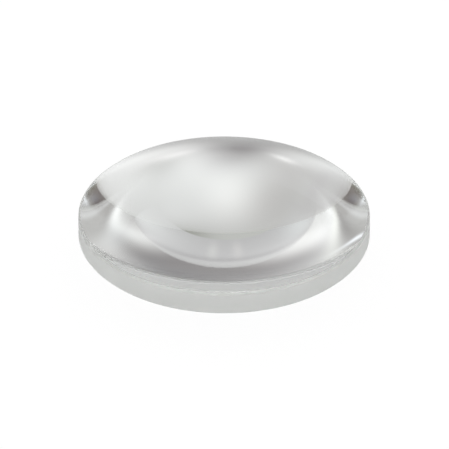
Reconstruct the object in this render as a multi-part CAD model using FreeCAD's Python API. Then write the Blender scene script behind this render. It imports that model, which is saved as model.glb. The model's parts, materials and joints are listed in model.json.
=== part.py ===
"""A biconvex lens: one piece of clear crown glass, ground to its rim and polished on both faces.

Sizes are in millimetres and angles in degrees. The optical axis is Z. The origin is on that axis,
halfway between the two vertices, which is the middle of the centre thickness.
"""

import math
import os

import FreeCAD, Part

# The catalogue sizes of the lens
DIAMETER = 25.4
CENTRE_THICKNESS = 8.9
UPPER_RADIUS = 24.8
LOWER_RADIUS = 24.8

# The safety bevels that keep the two edges from chipping
UPPER_BEVEL_WIDTH = 0.2
LOWER_BEVEL_WIDTH = 0.2
BEVEL_ANGLE = 45.0


def sag(curvature_radius, distance):
    """How far a polished face has dropped from its vertex, at a distance from the axis."""
    return curvature_radius - math.sqrt(curvature_radius**2 - distance**2)


def point(distance, height):
    """A point of the half section, which lies in the XZ plane."""
    return FreeCAD.Vector(distance, 0, height)


def face_points(side, curvature_radius, bevel_width):
    """The points that one face and its bevel give the half section, from the axis outwards.

    side is 1 for the upper face and -1 for the lower one. The face ends where its bevel starts,
    and the bevel ends on the ground rim.
    """
    vertex_height = CENTRE_THICKNESS / 2
    rim_radius = DIAMETER / 2
    face_edge_radius = rim_radius - bevel_width
    bevel_drop = bevel_width * math.tan(math.radians(BEVEL_ANGLE))
    face_edge_height = vertex_height - sag(curvature_radius, face_edge_radius)
    midway_radius = face_edge_radius / 2
    return {
        "vertex": point(0, side * vertex_height),
        "midway": point(midway_radius, side * (vertex_height - sag(curvature_radius, midway_radius))),
        "face_edge": point(face_edge_radius, side * face_edge_height),
        "rim_edge": point(rim_radius, side * (face_edge_height - bevel_drop)),
    }


def half_section():
    """The outline of half the lens, closed along the optical axis."""
    upper = face_points(1, UPPER_RADIUS, UPPER_BEVEL_WIDTH)
    lower = face_points(-1, LOWER_RADIUS, LOWER_BEVEL_WIDTH)
    upper_face = Part.Arc(upper["vertex"], upper["midway"], upper["face_edge"])
    upper_bevel = Part.LineSegment(upper["face_edge"], upper["rim_edge"])
    rim = Part.LineSegment(upper["rim_edge"], lower["rim_edge"])
    lower_bevel = Part.LineSegment(lower["rim_edge"], lower["face_edge"])
    lower_face = Part.Arc(lower["face_edge"], lower["midway"], lower["vertex"])
    optical_axis = Part.LineSegment(lower["vertex"], upper["vertex"])
    outline = [upper_face, upper_bevel, rim, lower_bevel, lower_face, optical_axis]
    return Part.Face(Part.Wire([curve.toShape() for curve in outline]))


def lens():
    """The whole lens, its half section turned once about the optical axis."""
    centre = FreeCAD.Vector(0, 0, 0)
    optical_axis = FreeCAD.Vector(0, 0, 1)
    turned = half_section().revolve(centre, optical_axis, 360)
    return Part.Solid(turned)


def describe(shape):
    """Prints the sizes that the sizes above lead to."""
    box = shape.BoundBox
    rims = [face for face in shape.Faces if isinstance(face.Surface, Part.Cylinder)]
    rim_box = rims[0].BoundBox
    print("size", round(box.XLength, 3), round(box.YLength, 3), round(box.ZLength, 3))
    print("rim from", round(rim_box.ZMin, 4), "to", round(rim_box.ZMax, 4))
    print("volume", round(shape.Volume, 2), "valid", shape.isValid(), "faces", len(shape.Faces))


os.makedirs("parts", exist_ok=True)
finished = lens()
describe(finished)
finished.exportStep("parts/lens.step")
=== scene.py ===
import json
import math

import bmesh
import bpy
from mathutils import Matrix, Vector

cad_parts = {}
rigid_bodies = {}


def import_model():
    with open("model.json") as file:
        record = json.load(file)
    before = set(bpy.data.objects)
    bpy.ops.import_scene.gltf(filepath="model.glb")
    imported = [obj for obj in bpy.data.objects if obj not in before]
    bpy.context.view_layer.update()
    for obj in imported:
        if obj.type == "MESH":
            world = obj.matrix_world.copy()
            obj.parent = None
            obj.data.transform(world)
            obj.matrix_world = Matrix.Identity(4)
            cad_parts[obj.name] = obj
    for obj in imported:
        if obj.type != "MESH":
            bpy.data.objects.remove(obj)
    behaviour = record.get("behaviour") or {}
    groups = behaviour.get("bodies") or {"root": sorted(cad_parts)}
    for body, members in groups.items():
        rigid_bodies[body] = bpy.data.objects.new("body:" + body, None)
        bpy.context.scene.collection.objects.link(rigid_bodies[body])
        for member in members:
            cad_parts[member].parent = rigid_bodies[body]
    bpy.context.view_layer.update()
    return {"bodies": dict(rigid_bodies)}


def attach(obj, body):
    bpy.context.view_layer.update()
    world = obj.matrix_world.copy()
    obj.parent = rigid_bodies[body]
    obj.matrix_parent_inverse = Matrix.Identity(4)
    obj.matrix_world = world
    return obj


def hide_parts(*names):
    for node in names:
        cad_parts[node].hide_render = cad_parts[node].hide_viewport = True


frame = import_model()


# The lens: one round of clear crown glass. Its two faces are ground and polished to the same sphere,
# its rim is left fine ground, and each sharp edge between a face and the rim is ground back to a
# narrow bevel. Nothing is fixed to it: a mount holds it by the rim.
DIAMETER = 0.0254
CENTRE_THICKNESS = 0.0089
FACE_RADIUS = 0.0248
BEVEL_WIDTH = 0.0002
FACE_RINGS = 72
SEGMENTS = 480
SHARP_EDGE = math.radians(5)
CROWN_INDEX = 1.52
CROWN_TINT = (0.995, 0.998, 0.985, 1)
GRAIN_SCALE = 9000.0
GRAIN_DEPTH = 0.00002

rim_radius = DIAMETER / 2
polished_edge = rim_radius - BEVEL_WIDTH
face_angle = math.asin(polished_edge / FACE_RADIUS)
upper_centre = Vector((0, 0, CENTRE_THICKNESS / 2 - FACE_RADIUS))


def sweep_face(section, corner, centre):
    """Draws the arc of one polished face on from a corner of the section, and returns its end."""
    swept = bmesh.ops.spin(
        section, geom=[corner], cent=centre, axis=(0, 1, 0), dvec=(0, 0, 0), angle=face_angle,
        steps=FACE_RINGS, use_merge=False, use_duplicate=False,
    )
    return next(item for item in swept["geom_last"] if isinstance(item, bmesh.types.BMVert))


def grind_flat(section, corner, step):
    """Draws a straight line on from a corner of the section, and returns its end."""
    made = bmesh.ops.extrude_vert_indiv(section, verts=[corner])
    bmesh.ops.translate(section, vec=step, verts=made["verts"])
    return made["verts"][0]


section = bmesh.new()
corner = section.verts.new((0, 0, CENTRE_THICKNESS / 2))
corner = sweep_face(section, corner, upper_centre)
corner = grind_flat(section, corner, (BEVEL_WIDTH, 0, -BEVEL_WIDTH))
corner = grind_flat(section, corner, (0, 0, -2 * corner.co.z))
corner = grind_flat(section, corner, (-BEVEL_WIDTH, 0, -BEVEL_WIDTH))
sweep_face(section, corner, -upper_centre)
bmesh.ops.spin(
    section, geom=section.verts[:] + section.edges[:], cent=(0, 0, 0), axis=(0, 0, 1),
    dvec=(0, 0, 0), angle=2 * math.pi, steps=SEGMENTS, use_merge=True, use_duplicate=False,
)
bmesh.ops.remove_doubles(section, verts=section.verts, dist=1e-7)
bmesh.ops.recalc_face_normals(section, faces=section.faces)

POLISHED, BEVELLED, GROUND = 0, 1, 2
for face in section.faces:
    middle = face.calc_center_median()
    from_axis = math.hypot(middle.x, middle.y)
    face.smooth = True
    face.material_index = POLISHED
    if from_axis > polished_edge:
        face.material_index = BEVELLED
    if from_axis > rim_radius - BEVEL_WIDTH / 4:
        face.material_index = GROUND
for edge in section.edges:
    edge.smooth = edge.calc_face_angle(0) < SHARP_EDGE
lens_mesh = bpy.data.meshes.new("biconvex_lens")
section.to_mesh(lens_mesh)
section.free()
biconvex_lens = bpy.data.objects.new("biconvex_lens", lens_mesh)
bpy.context.scene.collection.objects.link(biconvex_lens)


class Value:
    """A socket of a node tree that Python's own signs can add, subtract, multiply and divide."""

    def __init__(self, nodes, socket):
        self.nodes = nodes
        self.socket = socket

    def math(self, operation, *others):
        """Numbers go through a Math node, and colours and directions through a Vector Math node."""
        kind = "ShaderNodeMath"
        terms = [self, *others]
        if any(self.is_wide(term) for term in terms):
            kind = "ShaderNodeVectorMath"
            terms = [(term,) * 3 if isinstance(term, (int, float)) else term for term in terms]
        return self.nodes.add(kind, {"operation": operation}, dict(enumerate(terms)))

    @staticmethod
    def is_wide(term):
        """Whether a term of a sum is a colour or a direction."""
        if isinstance(term, Value):
            return term.socket.type in ("VECTOR", "RGBA")
        return isinstance(term, tuple)

    def __add__(self, other):
        return self.math("ADD", other)

    def __sub__(self, other):
        return self.math("SUBTRACT", other)

    def __rsub__(self, other):
        return (self * -1.0) + other

    def __mul__(self, other):
        return self.math("MULTIPLY", other)

    def __truediv__(self, other):
        return self.math("DIVIDE", other)

    __radd__ = __add__
    __rmul__ = __mul__


class Nodes:
    """The node tree of one material, or of the world."""

    def __init__(self, owner):
        owner.use_nodes = True
        self.tree = owner.node_tree
        self.tree.nodes.clear()

    def add(self, kind, settings=None, sockets=None, output=0):
        """Adds a node, makes its settings, then fills or links its sockets."""
        node = self.tree.nodes.new(kind)
        for name, item in (settings or {}).items():
            setattr(node, name, item)
        for name, item in (sockets or {}).items():
            if isinstance(item, Value):
                self.tree.links.new(item.socket, node.inputs[name])
            else:
                node.inputs[name].default_value = item
        return Value(self, node.outputs[output]) if node.outputs else node

    def several(self, kind, outputs, sockets=None):
        """Adds a node that gives more than one value."""
        first = self.add(kind, sockets=sockets)
        return [Value(self, first.socket.node.outputs[output]) for output in outputs]


# The lens has three finishes: the faces are polished, the bevels are smooth ground, and the rim is
# fine ground, with the grain that the wheel leaves.
polished_glass = bpy.data.materials.new("polished_crown_glass")
nodes = Nodes(polished_glass)
glass = nodes.add("ShaderNodeBsdfPrincipled", sockets={
    "Base Color": (1, 1, 1, 1), "Roughness": 0.0, "IOR": CROWN_INDEX, "Transmission Weight": 1.0,
})
nodes.add("ShaderNodeOutputMaterial", sockets={"Surface": glass})

bevelled_glass = bpy.data.materials.new("bevelled_crown_glass")
nodes = Nodes(bevelled_glass)
bevel = nodes.add("ShaderNodeBsdfPrincipled", sockets={
    "Base Color": CROWN_TINT, "Roughness": 0.45, "IOR": CROWN_INDEX, "Transmission Weight": 1.0,
})
nodes.add("ShaderNodeOutputMaterial", sockets={"Surface": bevel})

ground_glass = bpy.data.materials.new("ground_crown_glass")
nodes = Nodes(ground_glass)
here = nodes.add("ShaderNodeTexCoord", output="Object")
grain = nodes.add("ShaderNodeTexNoise", sockets={"Vector": here, "Scale": GRAIN_SCALE, "Detail": 3.0})
bump = nodes.add("ShaderNodeBump", sockets={
    "Height": grain, "Strength": 0.15, "Distance": GRAIN_DEPTH,
})
ground = nodes.add("ShaderNodeBsdfPrincipled", sockets={
    "Base Color": CROWN_TINT, "Roughness": 0.85, "IOR": CROWN_INDEX,
    "Transmission Weight": 0.8, "Normal": bump,
})
nodes.add("ShaderNodeOutputMaterial", sockets={"Surface": ground})
for finish in (polished_glass, bevelled_glass, ground_glass):
    biconvex_lens.data.materials.append(finish)

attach(biconvex_lens, next(iter(frame["bodies"])))
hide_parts("lens")


# The table: a pale matt top that the lens stands on. What the glass sees on it is painted light
# and shade: a painted glow, brighter near the lens and fading further out, and soft rings and pools
# of painted light and painted shade. A fitting program set nearly all the places, sizes and tones
# here, to bring the look of the glass close to the photograph. Places are in rim radii from the
# axis.
TABLE_RADIUS = 1.4
TABLE_SEGMENTS = 96
TABLE_NEAR = (0.73, 0.743, 0.735)
TABLE_FAR = (0.503, 0.498, 0.504)
TABLE_FADE = 13.2
TABLE_BACKGROUND = 0.95
TABLE_LEVEL = 0.8
TABLE_SHADE = 0.06
# Each ring: its middle across and along, its radius, its width and its light; the first ring is
# painted light, the second painted shade
PAINTED_LIGHT_AND_SHADE_RINGS = (
    (0.02, 0.161, 0.879, 0.122, (0.534, 0.554, 0.554)),
    (-0.004, -0.03, 1.45, 0.592, (-0.221, -0.234, -0.241)),
)
# Each pool: its middle across and along, its two half widths, its turn in degrees and its light;
# pools with positive light are painted light, those with negative light painted shade
PAINTED_LIGHT_AND_SHADE_POOLS = (
    (0.097, 0.78, 0.271, 0.129, 37.2, (-0.332, -0.349, -0.339)),
    (-0.276, 0.903, 0.551, 0.167, 18.8, (-0.983, -1.021, -1.005)),
    (0.086, 0.175, 0.391, 0.229, 36.2, (-0.289, -0.301, -0.301)),
    (0.043, 0.317, 0.168, 0.257, -2.6, (0.29, 0.294, 0.287)),
    (-0.315, 0.811, 0.231, 0.097, 16.7, (0.71, 0.724, 0.716)),
    (0.381, 0.752, 0.188, 0.074, -10.7, (0.258, 0.27, 0.268)),
    (0.434, 0.899, 0.441, 0.099, -24, (-0.493, -0.504, -0.496)),
    (-0.722, 0.721, 0.545, 0.053, 41.9, (0.263, 0.275, 0.244)),
    (0.359, 0.754, 0.137, 0.85, -13.9, (-0.067, -0.079, -0.08)),
    (-0.321, 0.683, 0.142, 0.189, -8.3, (-0.463, -0.471, -0.475)),
    (0.443, 0.464, 0.025, 0.418, -13.3, (-0.028, -0.035, -0.028)),
    (-0.339, 0.71, 0.295, 0.229, -0.7, (0.633, 0.649, 0.644)),
    (-0.248, 0.761, 0.12, 0.029, 15.9, (0.166, 0.159, 0.161)),
    (0.302, 0.73, 0.066, 0.022, -28.2, (0.271, 0.269, 0.268)),
    (-0.748, 0.927, 0.202, 0.01, 9, (0.623, 0.668, 0.716)),
    (-0.415, -0.889, 0.04, 0.03, 0, (-0.291, -0.3, -0.309)),
    (0.414, -0.885, 0.04, 0.03, 0, (-0.242, -0.25, -0.258)),
    (-0.445, -0.915, 0.05, 0.04, 0, (0.29, 0.31, 0.34)),
    (0.454, -0.915, 0.05, 0.04, 0, (0.29, 0.31, 0.34)),
)


def soft_fade(square):
    """1 in the middle of a spot, fading evenly with the square of the distance from it."""
    return (square * -1.0).math("EXPONENT")


top = bmesh.new()
bmesh.ops.create_circle(top, cap_ends=True, segments=TABLE_SEGMENTS, radius=TABLE_RADIUS)
bmesh.ops.translate(top, vec=(0, 0, -CENTRE_THICKNESS / 2), verts=top.verts)
top_mesh = bpy.data.meshes.new("table_top")
top.to_mesh(top_mesh)
top.free()
table_top = bpy.data.objects.new("table_top", top_mesh)
bpy.context.scene.collection.objects.link(table_top)

table_painted_light = bpy.data.materials.new("table_painted_light")
table_top.data.materials.append(table_painted_light)
nodes = Nodes(table_painted_light)
here = nodes.add("ShaderNodeTexCoord", output="Object")
x, y, z = nodes.several("ShaderNodeSeparateXYZ", "XYZ", {0: here * (1 / rim_radius)})
distance = (x * x + y * y).math("SQRT")
nearness = (distance * (-1 / TABLE_FADE)).math("EXPONENT")
# Painted light and shade, seen in the glass: a glow near the lens fading out, then the rings and
# pools.
painted_light_and_shade = nearness * tuple(near - far for near, far in zip(TABLE_NEAR, TABLE_FAR)) + TABLE_FAR
for ring_x, ring_y, ring_radius, width, light in PAINTED_LIGHT_AND_SHADE_RINGS:
    dx, dy = x - ring_x, y - ring_y
    away = ((dx * dx + dy * dy).math("SQRT") - ring_radius) * (1 / width)
    painted_light_and_shade = painted_light_and_shade + soft_fade(away * away) * light
for pool_x, pool_y, length, width, turn, light in PAINTED_LIGHT_AND_SHADE_POOLS:
    cosine, sine = math.cos(math.radians(turn)), math.sin(math.radians(turn))
    dx, dy = x - pool_x, y - pool_y
    along = dx * (cosine / length) + dy * (sine / length)
    aside = dy * (cosine / width) - dx * (sine / width)
    painted_light_and_shade = painted_light_and_shade + soft_fade(along * along + aside * aside) * light

# The camera sees the table nearly white, with the lens's shadow on it, and matt surfaces take a
# plain level of light from it.
camera_ray, diffuse_ray = nodes.several("ShaderNodeLightPath", ("Is Camera Ray", "Is Diffuse Ray"))
lit = painted_light_and_shade.math("MAXIMUM", 0.0) * (1 - camera_ray - diffuse_ray)
lit = lit + camera_ray * TABLE_BACKGROUND + diffuse_ray * TABLE_LEVEL
glow = nodes.add("ShaderNodeEmission", sockets={"Color": lit})
matt = nodes.add("ShaderNodeBsdfDiffuse", sockets={"Color": (TABLE_SHADE,) * 3 + (1,)})
dark = nodes.add("ShaderNodeEmission", sockets={"Color": (0, 0, 0, 1)})
shaded = nodes.add("ShaderNodeMixShader", sockets={0: camera_ray, 1: dark, 2: matt})
both = nodes.add("ShaderNodeAddShader", sockets={0: glow, 1: shaded})
nodes.add("ShaderNodeOutputMaterial", sockets={"Surface": both})


# The room: a pale wall stands behind the table, and the soft light comes from overhead. The same
# fitting program set nearly all the values here. Bearings are in degrees from straight behind the
# lens, growing to its right, and heights are above the table.
ROOM_LOW = (0.551, 0.564, 0.547)
ROOM_HIGH = (1.009, 1.037, 1.024)
ROOM_TURNS_BRIGHT = 46.4
ROOM_TURN = 18.1
WALL = (0.571, 0.57, 0.574)
WALL_RISE = (-0.0041, -0.0041, -0.0042)
WALL_LEFT = -62.1
WALL_RIGHT = 58.9
WALL_TOP = 28.16
WALL_TOP_SLOPE = 0.0311
WALL_TOP_CURVE = 0.00286
WALL_TOP_EDGE = 1.0
WALL_SIDE_EDGE = 1.5
# Each spot: its bearing and height, its two half widths and its light. The front ones stand in
# front of the lens, alike on both sides.
# The wall's spots are painted light and painted shade on the wall.
PAINTED_WALL_SPOTS = (
    (63.4, 20.2, 31.6, 17.2, (0.303, 0.326, 0.317)),
    (-47.9, 16.7, 13.5, 15.8, (0.163, 0.184, 0.182)),
    (5.6, 13.3, 2.6, 10.7, (0.092, 0.096, 0.084)),
    (-6.6, 14.2, 2.6, 10.8, (0.08, 0.076, 0.069)),
    (-2.1, 1.3, 69.5, 4, (-0.091, -0.092, -0.092)),
)
ROOM_SPOTS = (
    (-11.4, -28.3, 39.5, 12.3, (0.182, 0.182, 0.182)),
    (-22, 33, 33.6, 13.2, (-0.089, -0.094, -0.103)),
    (39.3, 42.4, 23.5, 6.7, (0.193, 0.184, 0.199)),
    (25.6, 31.8, 17.5, 15.5, (-0.251, -0.26, -0.272)),
)
FRONT_SPOTS = (
    (175.2, 7.5, 5.4, 20.1, (1.5, 1.58, 1.75)),
    (171.3, 28.1, 3.3, 23.9, (-0.257, -0.263, -0.294)),
    (127.6, -3.7, 27, 6.6, (0.626, 0.626, 0.626)),
    (128.6, 14.3, 7.6, 16.4, (0.85, 0.87, 0.86)),
    (173.7, 58.1, 23.8, 5.5, (0.33, 0.3, 0.26)),
    (163.1, 34.4, 11, 20, (-0.457, -0.497, -0.497)),
    (183.4, 32.8, 2, 5.2, (0.746, 0.746, 0.747)),
    (170.4, 22.4, 2.7, 3.2, (0.432, 0.473, 0.495)),
    (161.3, 28.2, 2.8, 4.2, (-0.164, -0.18, -0.179)),
    (163.1, 30.7, 3, 3.9, (0.107, 0.129, 0.157)),
)

room = bpy.data.worlds.new("room")
bpy.context.scene.world = room
nodes = Nodes(room)
direction = nodes.add("ShaderNodeTexCoord", output="Generated")
x, y, z = nodes.several("ShaderNodeSeparateXYZ", "XYZ", {0: direction})
bearing = x.math("ARCTAN2", y) * math.degrees(1)
height = z.math("ARCSINE") * math.degrees(1)


def soft_step(value, middle, width):
    """0 before the middle and 1 after it, with a soft change as wide as the width."""
    return nodes.add("ShaderNodeMapRange", {"interpolation_type": "SMOOTHSTEP"}, {
        0: value, 1: middle - width / 2, 2: middle + width / 2, 3: 0.0, 4: 1.0,
    })


def spots(places, across):
    """The light of all the soft spots of one list."""
    total = None
    for place, spot_height, half_width, half_height, light in places:
        aside, above = (across - place) / half_width, (height - spot_height) / half_height
        glow = soft_fade(aside * aside + above * above) * light
        total = glow if total is None else total + glow
    return total


overhead = soft_step(height, ROOM_TURNS_BRIGHT, ROOM_TURN)
light = overhead * tuple(high - low for high, low in zip(ROOM_HIGH, ROOM_LOW)) + ROOM_LOW
light = light + spots(ROOM_SPOTS, bearing) + spots(FRONT_SPOTS, bearing.math("ABSOLUTE"))

wall_top = bearing * (bearing * WALL_TOP_CURVE + WALL_TOP_SLOPE) + WALL_TOP
on_wall = soft_step(wall_top - height, 0.0, WALL_TOP_EDGE)
on_wall = on_wall * soft_step(bearing, WALL_LEFT, WALL_SIDE_EDGE)
on_wall = on_wall * soft_step(WALL_RIGHT - bearing, 0.0, WALL_SIDE_EDGE)
# The wall carries painted light and shade from its spots, and grows slightly darker towards its top.
wall = height * WALL_RISE + WALL + spots(PAINTED_WALL_SPOTS, bearing)
light = light * (1 - on_wall) + wall * on_wall

# The camera sees the room white, and matt surfaces take a plain level of light from it.
camera_ray, diffuse_ray = nodes.several("ShaderNodeLightPath", ("Is Camera Ray", "Is Diffuse Ray"))
light = light.math("MAXIMUM", 0.0) * (1 - camera_ray - diffuse_ray) + camera_ray + diffuse_ray
background = nodes.add("ShaderNodeBackground", sockets={"Color": light})
nodes.add("ShaderNodeOutputWorld", sockets={"Surface": background})


# The camera looks down on the lens from far in front, 33 degrees above the table. The field is the
# width that it takes in at the lens.
CAMERA_HEIGHT = math.radians(33.01)
CAMERA_DISTANCE = 1.27
FIELD = 0.03913
SENSOR_WIDTH = 36
SHIFT_RIGHT = 0.37 / 449
SHIFT_UP = -0.34 / 449
BOUNCES = 32

lens_camera = bpy.data.cameras.new("camera")
lens_camera.sensor_width = SENSOR_WIDTH
lens_camera.lens = SENSOR_WIDTH * CAMERA_DISTANCE / FIELD
lens_camera.shift_x = SHIFT_RIGHT
lens_camera.shift_y = SHIFT_UP
camera = bpy.data.objects.new("camera", lens_camera)
camera.location = (
    0, -CAMERA_DISTANCE * math.cos(CAMERA_HEIGHT), CAMERA_DISTANCE * math.sin(CAMERA_HEIGHT),
)
camera.rotation_euler = (math.pi / 2 - CAMERA_HEIGHT, 0, 0)
bpy.context.scene.collection.objects.link(camera)
bpy.context.scene.camera = camera

bpy.context.scene.view_settings.view_transform = "Standard"
bpy.context.scene.cycles.max_bounces = BOUNCES
bpy.context.scene.cycles.diffuse_bounces = BOUNCES
bpy.context.scene.cycles.glossy_bounces = BOUNCES
bpy.context.scene.cycles.transmission_bounces = BOUNCES
